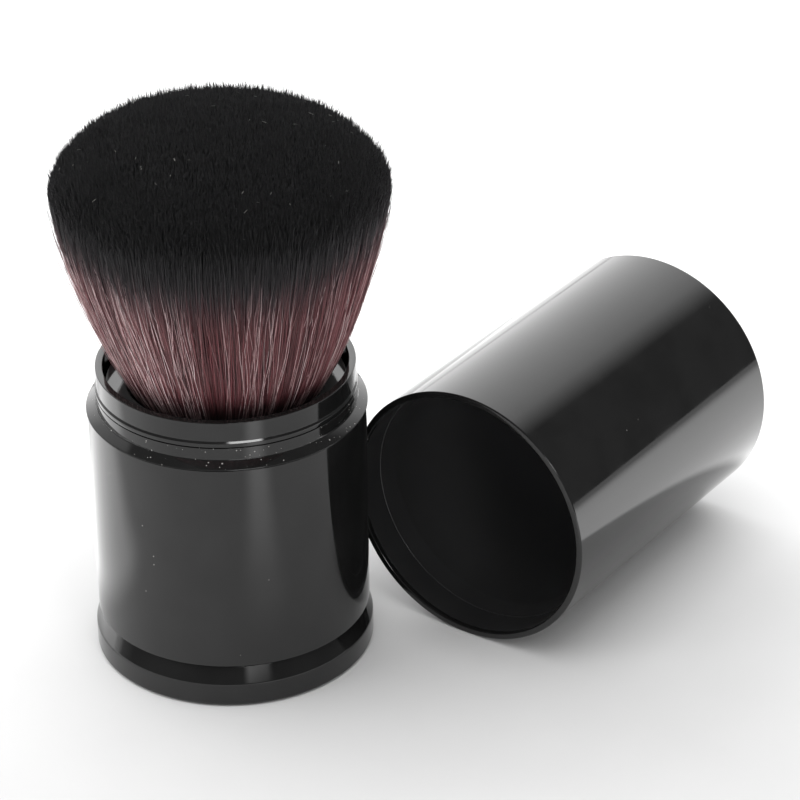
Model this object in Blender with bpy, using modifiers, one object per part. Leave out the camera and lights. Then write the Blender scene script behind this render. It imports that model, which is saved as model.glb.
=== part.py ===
"""A retractable makeup brush, standing open with its cap lying beside it.

Units are metres and +Z is up. The origin is the centre of the base, on the table.
The foot, the core tube and the bristles stand still. The sleeve slides up the core
and gathers the bristles, and the cap then closes over the collar. The cap lies on
its side along +Y, with its mouth towards the brush.
"""

import math

import bmesh
import bpy

MM = 0.001

# Driving dimensions of the brush
SLEEVE_RADIUS = 20.0 * MM
SLEEVE_BOTTOM = 6.5 * MM
SLEEVE_TOP = 38.9 * MM
SHELL_WALL = 0.5 * MM
SLEEVE_TRAVEL = 25.0 * MM
STOP_RING_TOP = 8.3 * MM

FOOT_RADIUS = 20.5 * MM
FOOT_BAND_TOP = 3.65 * MM
FOOT_TOP = 6.1 * MM
FOOT_TOP_RADIUS = 19.3 * MM

SHOULDER_RADIUS = 20.2 * MM
SHOULDER_BOTTOM = 39.1 * MM
SHOULDER_NECK_RADIUS = 18.8 * MM
SHOULDER_TOP = 41.85 * MM

COLLAR_RADIUS = 18.6 * MM
COLLAR_BORE = 17.5 * MM
COLLAR_TOP = 45.75 * MM

CORE_RADIUS = 17.9 * MM
CORE_WALL = 0.95 * MM
CORE_TOP = 35.4 * MM
PLATE_TOP = 43.15 * MM

FERRULE_RADIUS = 10.9 * MM
FERRULE_WALL = 0.45 * MM
FERRULE_BOTTOM = 23.9 * MM
FERRULE_TOP = 37.6 * MM

# Outer radius of the bristles at each height
TUFT_OUTLINE = (
    (37.4 * MM, 10.1 * MM),
    (43.15 * MM, 13.9 * MM),
    (48.0 * MM, 16.5 * MM),
    (54.0 * MM, 19.0 * MM),
    (61.0 * MM, 21.4 * MM),
    (68.0 * MM, 23.3 * MM),
    (74.0 * MM, 24.1 * MM),
)
TUFT_TOP = 83.6 * MM

# Driving dimensions of the cap, which lies on its side
CAP_RADIUS = 20.0 * MM
CAP_LENGTH = 53.0 * MM
CAP_CENTRE_X = 28.8 * MM
CAP_MOUTH_Y = 18.4 * MM

# Clearances
SEAT_GAP = 0.3 * MM
SLIDE_GAP = 0.2 * MM
LINER_GAP = 0.25 * MM

# Facets round a turned piece
SHELL_STEPS = 40
INNER_STEPS = 32

# Bristles
STRAND_COUNT = 300
STRAND_SIDES = 3
STRAND_ROOT_RADIUS = 0.43 * MM
STRAND_LEVELS = (43.15 * MM, 57.0 * MM)
STRAND_TIP_SHARE = 0.3
GOLDEN_ANGLE = math.pi * (3.0 - math.sqrt(5.0))


def clear_scene():
    for obj in list(bpy.data.objects):
        bpy.data.objects.remove(obj, do_unlink=True)


def new_collection(name):
    collection = bpy.data.collections.new(name)
    bpy.context.scene.collection.children.link(collection)
    return collection


def make_material(name, colour, roughness, metallic=0.0):
    material = bpy.data.materials.new(name)
    material.use_nodes = True
    shader = material.node_tree.nodes["Principled BSDF"]
    shader.inputs["Base Color"].default_value = (*colour, 1.0)
    shader.inputs["Roughness"].default_value = roughness
    shader.inputs["Metallic"].default_value = metallic
    material.diffuse_color = (*colour, 1.0)
    return material


def make_frame(name, location, rotation=(0.0, 0.0, 0.0)):
    """An empty on a joint's axis, which carries the pieces that move together."""
    frame = bpy.data.objects.new(name, None)
    frame.location = location
    frame.rotation_euler = rotation
    frame.empty_display_size = 10.0 * MM
    parts.objects.link(frame)
    return frame


def finish_piece(name, mesh, frame, material, sharp_angle=math.radians(30.0)):
    mesh.name = name
    mesh.materials.clear()
    mesh.materials.append(material)
    mesh.shade_smooth()
    mesh.set_sharp_from_angle(angle=sharp_angle)
    piece = bpy.data.objects.new(name, mesh)
    piece.parent = frame
    parts.objects.link(piece)
    return piece


def evaluated_mesh(obj):
    bpy.context.view_layer.update()
    graph = bpy.context.evaluated_depsgraph_get()
    return bpy.data.meshes.new_from_object(obj.evaluated_get(graph))


def turned_mesh(profile, steps):
    """Turns a profile of (radius, height) points, given down its outer side, about Z.

    A profile that starts and ends on the axis is solid there. Any other is a ring,
    so its last point joins its first.
    """
    on_axis = profile[0][0] == 0.0 and profile[-1][0] == 0.0
    points = [(radius, 0.0, height) for radius, height in profile]
    edges = [(i, i + 1) for i in range(len(points) - 1)]
    if not on_axis:
        edges.append((len(points) - 1, 0))
    outline = bpy.data.meshes.new("outline")
    outline.from_pydata(points, edges, [])
    guide = bpy.data.objects.new("outline", outline)
    guides.objects.link(guide)
    screw = guide.modifiers.new("turn", "SCREW")
    screw.angle = 2.0 * math.pi
    screw.steps = steps
    screw.render_steps = steps
    screw.use_merge_vertices = True
    screw.merge_threshold = 0.01 * MM
    mesh = evaluated_mesh(guide)
    bpy.data.objects.remove(guide, do_unlink=True)
    bpy.data.meshes.remove(outline)
    return mesh


def turned_piece(name, profile, steps, frame, material):
    return finish_piece(name, turned_mesh(profile, steps), frame, material)


# The foot and what it holds

def make_foot_shell():
    wall = 0.6 * MM
    lip = 0.9 * MM
    bottom = 0.2 * MM
    edge = 0.35 * MM
    bore = CORE_RADIUS + 0.4 * MM
    band_inside_top = FOOT_BAND_TOP - 0.1 * MM
    slope_inside = FOOT_TOP_RADIUS - 0.4 * MM
    profile = [
        (FOOT_TOP_RADIUS, FOOT_TOP),
        (FOOT_RADIUS, FOOT_BAND_TOP),
        (FOOT_RADIUS, bottom + edge),
        (FOOT_RADIUS - edge, bottom),
        (FOOT_RADIUS - wall - lip, bottom),
        (FOOT_RADIUS - wall - lip, bottom + wall),
        (FOOT_RADIUS - wall, bottom + wall),
        (FOOT_RADIUS - wall, band_inside_top),
        (slope_inside, FOOT_TOP - wall),
        (bore, FOOT_TOP - wall),
        (bore, FOOT_TOP),
    ]
    turned_piece("foot_shell", profile, SHELL_STEPS, core_frame, black_shell)


def make_base_plug():
    floor_bottom = 1.2 * MM
    floor_top = 2.3 * MM
    pad_recess = 16.8 * MM
    skirt_bottom = 0.3 * MM
    skirt_radius = 18.7 * MM
    skirt_step = 1.1 * MM
    body_radius = 19.5 * MM
    body_top = 3.3 * MM
    rim_radius = 18.6 * MM
    rim_top = 5.2 * MM
    weight_wall = 13.4 * MM
    groove_inner = CORE_RADIUS - CORE_WALL - SEAT_GAP
    groove_outer = CORE_RADIUS + SLIDE_GAP
    profile = [
        (0.0, floor_top),
        (weight_wall, floor_top),
        (weight_wall, rim_top),
        (groove_inner, rim_top),
        (groove_inner, floor_top),
        (groove_outer, floor_top),
        (groove_outer, rim_top),
        (rim_radius, rim_top),
        (body_radius, body_top),
        (body_radius, skirt_step),
        (skirt_radius, skirt_step),
        (skirt_radius, skirt_bottom),
        (pad_recess, skirt_bottom),
        (pad_recess, floor_bottom),
        (0.0, floor_bottom),
    ]
    turned_piece("base_plug", profile, INNER_STEPS, core_frame, black_plastic)


def make_base_pad():
    radius = 16.5 * MM
    thickness = 0.9 * MM
    edge = 0.15 * MM
    profile = [
        (0.0, thickness),
        (radius, thickness),
        (radius, edge),
        (radius - edge, 0.0),
        (0.0, 0.0),
    ]
    turned_piece("base_pad", profile, INNER_STEPS, core_frame, black_rubber)


def make_base_weight():
    radius = 13.0 * MM
    bottom = 2.6 * MM
    top = 4.8 * MM
    edge = 0.25 * MM
    profile = [
        (0.0, top),
        (radius - edge, top),
        (radius, top - edge),
        (radius, bottom),
        (0.0, bottom),
    ]
    turned_piece("base_weight", profile, INNER_STEPS, core_frame, steel)


# The core, which stands in the foot and guides the sleeve

def make_core_tube():
    bottom = 2.6 * MM
    flange_radius = 18.4 * MM
    stop_gap = 0.5 * MM
    flange_bottom = STOP_RING_TOP + SLEEVE_TRAVEL + stop_gap
    flange_top = flange_bottom + 0.7 * MM
    seat_radius = 17.6 * MM
    bore = CORE_RADIUS - CORE_WALL
    profile = [
        (seat_radius, CORE_TOP),
        (seat_radius, flange_top),
        (flange_radius, flange_top),
        (flange_radius, flange_bottom),
        (CORE_RADIUS, flange_bottom),
        (CORE_RADIUS, bottom),
        (bore, bottom),
        (bore, CORE_TOP),
    ]
    turned_piece("core_tube", profile, INNER_STEPS, core_frame, black_plastic)


def make_drag_ring():
    ring_radius = 18.1 * MM
    section_radius = 0.38 * MM
    height = 34.98 * MM
    sides = 8
    profile = []
    for side in range(sides):
        turn = -2.0 * math.pi * side / sides
        radius = ring_radius + section_radius * math.cos(turn)
        profile.append((radius, height + section_radius * math.sin(turn)))
    turned_piece("drag_ring", profile, INNER_STEPS, core_frame, black_rubber)


def make_core_head():
    """A drum whose top plate shows round the bristles, just below the collar's rim.

    Its flange keeps the drag ring in place, and its socket holds the ferrule.
    """
    flange_radius = 18.35 * MM
    flange_top = 36.4 * MM
    flange_bottom = CORE_TOP + 0.15 * MM
    drum_radius = COLLAR_BORE - SEAT_GAP
    plate_thickness = 0.8 * MM
    mouth_radius = 14.4 * MM
    skirt_radius = CORE_RADIUS - CORE_WALL - SLIDE_GAP
    skirt_wall = 0.9 * MM
    skirt_bottom = CORE_TOP - 3.9 * MM
    socket_bore = FERRULE_RADIUS + SEAT_GAP
    socket_wall = 1.1 * MM
    socket_floor = FERRULE_BOTTOM - SEAT_GAP
    funnel_bottom = FERRULE_TOP + SEAT_GAP
    funnel_wall = 0.6 * MM
    floor_thickness = 1.1 * MM
    plate_bottom = PLATE_TOP - plate_thickness
    profile = [
        (0.0, socket_floor),
        (socket_bore, socket_floor),
        (socket_bore, funnel_bottom),
        (mouth_radius, PLATE_TOP),
        (drum_radius, PLATE_TOP),
        (drum_radius, flange_top),
        (flange_radius, flange_top),
        (flange_radius, flange_bottom),
        (skirt_radius, flange_bottom),
        (skirt_radius, skirt_bottom),
        (skirt_radius - skirt_wall, skirt_bottom),
        (skirt_radius - skirt_wall, plate_bottom),
        (mouth_radius + funnel_wall, plate_bottom),
        (socket_bore + socket_wall, FERRULE_TOP),
        (socket_bore + socket_wall, socket_floor - floor_thickness),
        (0.0, socket_floor - floor_thickness),
    ]
    turned_piece("core_head", profile, INNER_STEPS, core_frame, black_plastic)


# The brush head: ferrule, glue, binding and bristles

def make_ferrule():
    floor = 0.5 * MM
    roll = 0.12 * MM
    bore = FERRULE_RADIUS - FERRULE_WALL
    profile = [
        (0.0, FERRULE_BOTTOM + floor),
        (bore, FERRULE_BOTTOM + floor),
        (bore, FERRULE_TOP - roll),
        (bore + roll, FERRULE_TOP),
        (FERRULE_RADIUS - roll, FERRULE_TOP),
        (FERRULE_RADIUS, FERRULE_TOP - roll),
        (FERRULE_RADIUS, FERRULE_BOTTOM),
        (0.0, FERRULE_BOTTOM),
    ]
    turned_piece("ferrule", profile, INNER_STEPS, core_frame, dark_aluminium)


def make_tuft_glue():
    radius = FERRULE_RADIUS - FERRULE_WALL - SEAT_GAP
    bottom = 24.7 * MM
    top = 31.0 * MM
    profile = [(0.0, top), (radius, top), (radius, bottom), (0.0, bottom)]
    turned_piece("tuft_glue", profile, INNER_STEPS, core_frame, amber_resin)


def make_tuft_binding():
    """Three turns of waxed cord round the roots of the bristles."""
    turns = 3
    cord_radius = 0.33 * MM
    ring_radius = 9.8 * MM
    bottom = 32.0 * MM
    profile = []
    for turn in reversed(range(turns)):
        height = bottom + (2 * turn + 1) * cord_radius
        profile.append((ring_radius + 0.5 * cord_radius, height + cord_radius))
        profile.append((ring_radius + cord_radius, height))
    profile.append((ring_radius + 0.5 * cord_radius, bottom))
    profile.append((ring_radius - cord_radius, bottom))
    profile.append((ring_radius - cord_radius, bottom + 2 * turns * cord_radius))
    turned_piece("tuft_binding", profile, INNER_STEPS, core_frame, waxed_cord)


def tuft_spread(height):
    """Outer radius of the tuft at a height, read off its outline."""
    for (low, inner), (high, outer) in zip(TUFT_OUTLINE, TUFT_OUTLINE[1:]):
        if height <= high:
            share = max(0.0, (height - low) / (high - low))
            return inner + (outer - inner) * share
    return TUFT_OUTLINE[-1][1]


def strand_points(index, root_height, root_radius):
    """The (point, size) pairs up one strand. Its place in the bundle never changes."""
    sink = 0.15 * MM
    strand_reach = 0.98
    dome_power = 2.2
    dome_foot = 71.5 * MM
    place = math.sqrt((index + 0.5) / STRAND_COUNT)
    angle = index * GOLDEN_ANGLE
    dome = math.sqrt(1.0 - (strand_reach * place) ** dome_power)
    tip = dome_foot + (TUFT_TOP - dome_foot) * dome
    points = []
    for height in (root_height - sink, *STRAND_LEVELS, tip):
        spread = tuft_spread(height)
        size = spread / root_radius
        if height == tip:
            size *= STRAND_TIP_SHARE
        radius = place * (spread - size * STRAND_ROOT_RADIUS)
        point = (radius * math.cos(angle), radius * math.sin(angle), height)
        points.append((point, size))
    return points


def strand_section():
    """The cross-section of a strand, a small regular polygon drawn as a curve."""
    curve = bpy.data.curves.new("strand_section", "CURVE")
    curve.dimensions = "2D"
    spline = curve.splines.new("POLY")
    spline.points.add(STRAND_SIDES - 1)
    for side, point in enumerate(spline.points):
        turn = 2.0 * math.pi * side / STRAND_SIDES
        point.co = (
            STRAND_ROOT_RADIUS * math.cos(turn),
            STRAND_ROOT_RADIUS * math.sin(turn),
            0.0,
            1.0,
        )
    spline.use_cyclic_u = True
    section = bpy.data.objects.new("strand_section", curve)
    section.hide_render = True
    guides.objects.link(section)
    return section


def make_strands(root_height, root_radius):
    """All the strands as one mesh of separate closed prisms."""
    curve = bpy.data.curves.new("strands", "CURVE")
    curve.dimensions = "3D"
    curve.bevel_mode = "OBJECT"
    curve.bevel_object = strand_section()
    curve.use_fill_caps = True
    for index in range(STRAND_COUNT):
        points = strand_points(index, root_height, root_radius)
        spline = curve.splines.new("POLY")
        spline.points.add(len(points) - 1)
        for target, (place, size) in zip(spline.points, points):
            target.co = (*place, 1.0)
            target.radius = size
    guide = bpy.data.objects.new("strands", curve)
    guides.objects.link(guide)
    mesh = evaluated_mesh(guide)
    bpy.data.objects.remove(guide, do_unlink=True)
    work = bmesh.new()
    work.from_mesh(mesh)
    bmesh.ops.remove_doubles(work, verts=work.verts, dist=0.001 * MM)
    bmesh.ops.recalc_face_normals(work, faces=work.faces)
    work.to_mesh(mesh)
    work.free()
    return mesh


def make_bristle_tuft():
    """The strands, fused to the glued root of the bundle that holds them."""
    root_height = FERRULE_TOP - 0.2 * MM
    root_radius = 10.1 * MM
    waist_radius = 9.2 * MM
    waist_top = 34.6 * MM
    root_bottom = 31.3 * MM
    profile = [
        (0.0, root_height),
        (root_radius, root_height),
        (root_radius, waist_top),
        (waist_radius, waist_top),
        (waist_radius, root_bottom),
        (0.0, root_bottom),
    ]
    root = bpy.data.objects.new("bundle_root", turned_mesh(profile, INNER_STEPS))
    strands = bpy.data.objects.new("strands", make_strands(root_height, root_radius))
    for helper in (root, strands):
        guides.objects.link(helper)
    fuse = root.modifiers.new("fuse", "BOOLEAN")
    fuse.operation = "UNION"
    fuse.solver = "EXACT"
    fuse.object = strands
    mesh = evaluated_mesh(root)
    for helper in (root, strands):
        bpy.data.objects.remove(helper, do_unlink=True)
    finish_piece("bristle_tuft", mesh, core_frame, bristle_fibre)


# The sleeve, with its shoulder ring and collar

def make_sleeve_shell():
    lip = 1.0 * MM
    lip_thickness = 0.45 * MM
    edge = 0.15 * MM
    bore = SLEEVE_RADIUS - SHELL_WALL
    profile = [
        (SLEEVE_RADIUS, SLEEVE_TOP),
        (SLEEVE_RADIUS, SLEEVE_BOTTOM + edge),
        (SLEEVE_RADIUS - edge, SLEEVE_BOTTOM),
        (SLEEVE_RADIUS - lip, SLEEVE_BOTTOM),
        (SLEEVE_RADIUS - lip, SLEEVE_BOTTOM + lip_thickness),
        (bore, SLEEVE_BOTTOM + lip_thickness),
        (bore, SLEEVE_TOP),
    ]
    turned_piece("sleeve_shell", profile, SHELL_STEPS, sleeve_frame, black_shell)


def make_stop_ring():
    """The ring in the sleeve's foot that meets the core's flange at full travel."""
    outer = SLEEVE_RADIUS - SHELL_WALL - LINER_GAP
    bore = CORE_RADIUS + SLIDE_GAP
    bottom = 7.2 * MM
    edge = 0.2 * MM
    profile = [
        (outer, STOP_RING_TOP),
        (outer, bottom),
        (bore + edge, bottom),
        (bore, bottom + edge),
        (bore, STOP_RING_TOP - edge),
        (bore + edge, STOP_RING_TOP),
    ]
    turned_piece("stop_ring", profile, INNER_STEPS, sleeve_frame, black_plastic)


def make_sleeve_liner():
    outer = SLEEVE_RADIUS - SHELL_WALL - LINER_GAP
    bore = 18.6 * MM
    bottom = 8.6 * MM
    top = 38.3 * MM
    profile = [(outer, top), (outer, bottom), (bore, bottom), (bore, top)]
    turned_piece("sleeve_liner", profile, INNER_STEPS, sleeve_frame, black_plastic)


def make_shoulder_ring():
    """A stepped ring with a straight sloping flare, which overhangs the sleeve a little."""
    bore = 18.45 * MM
    edge = 0.08 * MM
    flare_top = 40.02 * MM
    rim_height = 0.12 * MM
    profile = [
        (SHOULDER_NECK_RADIUS - edge, SHOULDER_TOP),
        (SHOULDER_NECK_RADIUS, SHOULDER_TOP - edge),
        (SHOULDER_NECK_RADIUS, flare_top),
        (SHOULDER_RADIUS, SHOULDER_BOTTOM + rim_height),
        (SHOULDER_RADIUS, SHOULDER_BOTTOM),
        (bore, SHOULDER_BOTTOM),
        (bore, SHOULDER_TOP),
    ]
    turned_piece("shoulder_ring", profile, SHELL_STEPS, sleeve_frame, black_shell)


def make_collar():
    """The neck that the cap closes over, with a small sloping ledge above its seat."""
    edge = 0.15 * MM
    ledge_top = 42.73 * MM
    ledge_bottom = 42.32 * MM
    seat_bottom = SHOULDER_TOP + 0.13 * MM
    neck_radius = 18.2 * MM
    flange_radius = 19.2 * MM
    flange_bottom = 38.55 * MM
    flange_top = 38.95 * MM
    skirt_radius = 18.3 * MM
    skirt_bottom = 37.4 * MM
    profile = [
        (COLLAR_RADIUS - edge, COLLAR_TOP),
        (COLLAR_RADIUS, COLLAR_TOP - edge),
        (COLLAR_RADIUS, ledge_top),
        (SHOULDER_NECK_RADIUS, ledge_bottom),
        (SHOULDER_NECK_RADIUS, seat_bottom),
        (neck_radius, seat_bottom),
        (neck_radius, flange_top),
        (flange_radius, flange_top),
        (flange_radius, flange_bottom),
        (skirt_radius, flange_bottom),
        (skirt_radius, skirt_bottom),
        (COLLAR_BORE, skirt_bottom),
        (COLLAR_BORE, COLLAR_TOP - edge),
        (COLLAR_BORE + edge, COLLAR_TOP),
    ]
    turned_piece("collar", profile, SHELL_STEPS, sleeve_frame, black_shell)


# The cap, turned about its own axis with its mouth at height 0

def make_cap_shell():
    edge = 0.4 * MM
    lip = 1.0 * MM
    lip_depth = 0.8 * MM
    lip_edge = 0.2 * MM
    end_wall = 0.6 * MM
    bore = CAP_RADIUS - SHELL_WALL
    profile = [
        (0.0, CAP_LENGTH),
        (CAP_RADIUS - edge, CAP_LENGTH),
        (CAP_RADIUS, CAP_LENGTH - edge),
        (CAP_RADIUS, lip_edge),
        (CAP_RADIUS - lip_edge, 0.0),
        (CAP_RADIUS - lip + lip_edge, 0.0),
        (CAP_RADIUS - lip, lip_edge),
        (CAP_RADIUS - lip, lip_depth),
        (bore, lip_depth),
        (bore, CAP_LENGTH - end_wall),
        (0.0, CAP_LENGTH - end_wall),
    ]
    turned_piece("cap_shell", profile, SHELL_STEPS, cap_frame, black_shell)


def make_cap_liner():
    """A cup glued in the cap, wider near the mouth, where the collar goes in."""
    outer = CAP_RADIUS - SHELL_WALL - SEAT_GAP
    mouth = 1.1 * MM
    mouth_bore = 18.85 * MM
    step_bottom = 5.1 * MM
    step_top = 5.4 * MM
    bore = 18.2 * MM
    end_wall = 0.8 * MM
    end = CAP_LENGTH - 0.9 * MM
    profile = [
        (0.0, end),
        (outer, end),
        (outer, mouth),
        (mouth_bore, mouth),
        (mouth_bore, step_bottom),
        (bore, step_top),
        (bore, end - end_wall),
        (0.0, end - end_wall),
    ]
    turned_piece("cap_liner", profile, SHELL_STEPS, cap_frame, black_plastic)


clear_scene()
parts = new_collection("retractable_makeup_brush")
guides = new_collection("guides")

black_shell = make_material("gloss_black_shell", (0.012, 0.012, 0.013), 0.06)
black_plastic = make_material("black_plastic", (0.016, 0.016, 0.017), 0.3)
black_rubber = make_material("black_rubber", (0.02, 0.02, 0.02), 0.8)
steel = make_material("steel", (0.55, 0.55, 0.56), 0.35, metallic=1.0)
dark_aluminium = make_material("dark_aluminium", (0.05, 0.05, 0.055), 0.3, metallic=1.0)
amber_resin = make_material("amber_resin", (0.45, 0.28, 0.1), 0.25)
waxed_cord = make_material("waxed_cord", (0.62, 0.55, 0.42), 0.8)
bristle_fibre = make_material("bristle_fibre", (0.2, 0.1, 0.1), 0.45)

core_frame = make_frame("core_frame", (0.0, 0.0, 0.0))
sleeve_frame = make_frame("sleeve_frame", (0.0, 0.0, 0.0))
cap_frame = make_frame(
    "cap_frame", (CAP_CENTRE_X, CAP_MOUTH_Y, CAP_RADIUS), (-0.5 * math.pi, 0.0, 0.0)
)

make_foot_shell()
make_base_plug()
make_base_pad()
make_base_weight()
make_core_tube()
make_drag_ring()
make_core_head()
make_ferrule()
make_tuft_glue()
make_tuft_binding()
make_bristle_tuft()
make_sleeve_shell()
make_stop_ring()
make_sleeve_liner()
make_shoulder_ring()
make_collar()
make_cap_shell()
make_cap_liner()
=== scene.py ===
import math

import bmesh
import bpy
import numpy as np
from mathutils import Matrix, Vector


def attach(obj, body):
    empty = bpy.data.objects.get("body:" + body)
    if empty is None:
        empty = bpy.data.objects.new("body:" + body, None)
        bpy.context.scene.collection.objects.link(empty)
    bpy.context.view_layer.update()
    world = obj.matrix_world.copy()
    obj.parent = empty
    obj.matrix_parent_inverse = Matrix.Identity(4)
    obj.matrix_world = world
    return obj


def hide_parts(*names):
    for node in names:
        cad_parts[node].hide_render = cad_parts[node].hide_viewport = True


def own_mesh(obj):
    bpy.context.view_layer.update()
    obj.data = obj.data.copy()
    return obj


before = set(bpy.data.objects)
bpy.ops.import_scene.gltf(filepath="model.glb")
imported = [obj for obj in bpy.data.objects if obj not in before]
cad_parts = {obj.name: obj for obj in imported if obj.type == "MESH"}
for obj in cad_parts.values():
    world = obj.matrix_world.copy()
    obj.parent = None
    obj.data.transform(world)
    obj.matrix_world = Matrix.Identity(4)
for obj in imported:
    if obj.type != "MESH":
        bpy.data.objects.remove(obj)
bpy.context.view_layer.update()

mm = 0.001
radians = math.radians
noiseSpan = (0.3, 0.7)  # most values of a noise lie between these


# small habits that every piece uses
def deselectAll():
    if bpy.context.object and bpy.context.object.mode != "OBJECT":
        bpy.ops.object.mode_set(mode="OBJECT")
    bpy.ops.object.select_all(action="DESELECT")


def pick(piece):
    deselectAll()
    piece.select_set(True)
    bpy.context.view_layer.objects.active = piece


def applyModifier(piece, kind, **settings):
    pick(piece)
    bpy.ops.object.modifier_add(type=kind)
    modifier = piece.modifiers[-1]
    for key, value in settings.items():
        setattr(modifier, key, value)
    bpy.ops.object.modifier_apply(modifier=modifier.name)


def selectVerts(piece, test):
    # edit mode is on; test gets a vertex's place
    mesh = bmesh.from_edit_mesh(piece.data)
    for vert in mesh.verts:
        vert.select = bool(test(vert.co))
    mesh.select_flush_mode()
    bmesh.update_edit_mesh(piece.data)


class Nodes:
    # a short way to write a node tree down
    def __init__(self, tree):
        self.tree = tree
        tree.nodes.clear()

    def add(self, kind, values=None, **settings):
        node = self.tree.nodes.new(kind)
        for key, value in settings.items():
            setattr(node, key, value)
        for key, value in (values or {}).items():
            socket = node.inputs[key]
            if isinstance(value, bpy.types.NodeSocket):
                self.tree.links.new(value, socket)
            else:
                socket.default_value = value
        return node

    def math(self, operation, *values, clamp=False):
        inputs = dict(enumerate(values))
        return self.add("ShaderNodeMath", inputs, operation=operation, use_clamp=clamp).outputs[0]

    def fade(self, value, low, high, start=0.0, end=1.0):
        # smooth step from start to end as value goes from low to high
        ranged = {"Value": value, "From Min": low, "From Max": high, "To Min": start, "To Max": end}
        node = self.add("ShaderNodeMapRange", ranged, interpolation_type="SMOOTHSTEP")
        return node.outputs["Result"]

    def noise(self, place, scale, detail=2.0, roughness=0.5):
        values = {"Vector": place, "Scale": scale, "Detail": detail, "Roughness": roughness}
        return self.add("ShaderNodeTexNoise", values).outputs["Fac"]

    def ramp(self, value, stops):
        node = self.add("ShaderNodeValToRGB", {"Fac": value})
        marks = node.color_ramp.elements
        while len(marks) < len(stops):
            marks.new(0.5)
        for mark, (place, colour) in zip(marks, stops):
            mark.position = place
            mark.color = (*colour, 1.0)
        return node.outputs["Color"]

    def mix(self, share, first, second):
        node = self.add("ShaderNodeMix", {0: share}, data_type="RGBA")
        for socket, value in ((node.inputs[6], first), (node.inputs[7], second)):
            if isinstance(value, bpy.types.NodeSocket):
                self.tree.links.new(value, socket)
            else:
                socket.default_value = (*value, 1.0)
        return node.outputs[2]

    def moved(self, place, **change):
        return self.add("ShaderNodeMapping", {"Vector": place, **change}).outputs[0]

    def bump(self, height, strength, distance):
        values = {"Strength": strength, "Distance": distance, "Height": height}
        return self.add("ShaderNodeBump", values).outputs[0]

    def principled(self, colour, roughness, normal=None, **values):
        values.update({"Base Color": colour, "Roughness": roughness})
        if normal:
            values["Normal"] = normal
        return self.add("ShaderNodeBsdfPrincipled", values)

    def close(self, shader):
        self.add("ShaderNodeOutputMaterial", {"Surface": shader.outputs[0]})


def newMaterial(name):
    material = bpy.data.materials.new(name)
    material.use_nodes = True
    return material, Nodes(material.node_tree)


def grey(level):
    return (level, level, level)


cameraSettings = {
    "place": (0.25849, -0.32246, 0.26921),
    "lookAt": (0.01649, 0.01962, 0.03516),
    "upright": (-0.2732, 0.4040, 0.8730),
    "lens": 148.24,
    "sensor": 36.0,
    "clip": (0.01, 20.0),
}


def makeCamera(settings):
    deselectAll()
    place, target = Vector(settings["place"]), Vector(settings["lookAt"])
    back = (place - target).normalized()
    side = Vector(settings["upright"]).cross(back).normalized()
    turn = Matrix((side, back.cross(side), back)).transposed()
    bpy.ops.object.camera_add(location=place, rotation=turn.to_euler())
    camera = bpy.context.object
    camera.name = "photoCamera"
    camera.data.lens = settings["lens"]
    camera.data.sensor_width = settings["sensor"]
    camera.data.clip_start, camera.data.clip_end = settings["clip"]
    bpy.context.scene.camera = camera


makeCamera(cameraSettings)
print("camera placed")


floorSettings = {
    "radius": 3.0,
    "corners": 96,
    "colour": (0.70, 0.70, 0.70),
    "grain": 60.0,
    "grainShade": 0.985,            # the darker spots' share of the colour
    "nearCentre": (0.072, -0.062),  # round here the floor shows its own shade
    "shadeRadius": 0.070,
    "paleRadius": 0.185,            # from here it is seen paler, shadows and all
    "pale": (0.98, 0.98, 0.98),
    "farRadii": (0.27, 0.50),       # and between these it fades to plain white
}

roomSettings = {
    "dimInGloss": 0.15,
    "dim": 0.51,
    "window": 3.0,            # the big soft window, behind and to the left
    "from": -170.0,           # azimuths, from +Y towards +X
    "to": 20.0,
    # azimuth, level as it lights, level in gloss
    "across": [
        (-170, 0.0, 0.0), (-150, 0.75, 0.0), (-128, 0.92, 0.0), (-100, 0.88, 0.22), (-80, 0.86, 0.36),
        (-62, 0.84, 0.95), (-37, 0.66, 0.78), (-10, 0.51, 0.60), (1, 0.41, 0.48), (18, 0.0, 0.0),
    ],
    "heights": (0.728, 0.772),  # sine of the elevation, full to none
}

lampSettings = [
    # name, one end, other end, width, radiance, seen in gloss
    ("topFill", (0.10, -0.50, 0.90), (0.10, 0.20, 0.90), 0.70, 2.2, False),
    ("frontStrip", (0.722, -0.524, 0.125), (0.393, -0.113, 0.802), 0.17, 2.2, False),
]

cardLift = 0.0006  # m, just clear of the floor
cardSettings = [
    # pale cards on the floor, seen only in the gloss: name, near edge's middle, direction away,
    # depth, width, glow, softness of the near edge, of the far edge and of the sides
    ("farCard", (0.045, 0.078), (0.50, 0.86), 0.60, 3.20, 1.35, 0.006, 0.50, 0.006),
    ("leftCard", (-0.0220, -0.0130), (-0.995, -0.04), 0.13, 0.078, 1.00, 0.013, 0.02, 0.018),
    ("frontCard", (0.0257, -0.0155), (0.857, -0.515), 0.13, 0.036, 1.15, 0.070, 0.02, 0.016),
]

panelSettings = [
    # panels in the air before the brush, seen only in the gloss: name, direction as azimuth and
    # elevation, distance, width, height, glow, softness of the edge
    ("softPanel", (125.0, 19.0), 0.90, 0.38, 0.10, 4.6, 0.10),
    ("brightPanel", (127.0, 32.0), 0.90, 0.46, 0.16, 13.0, 0.07),
]


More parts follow.
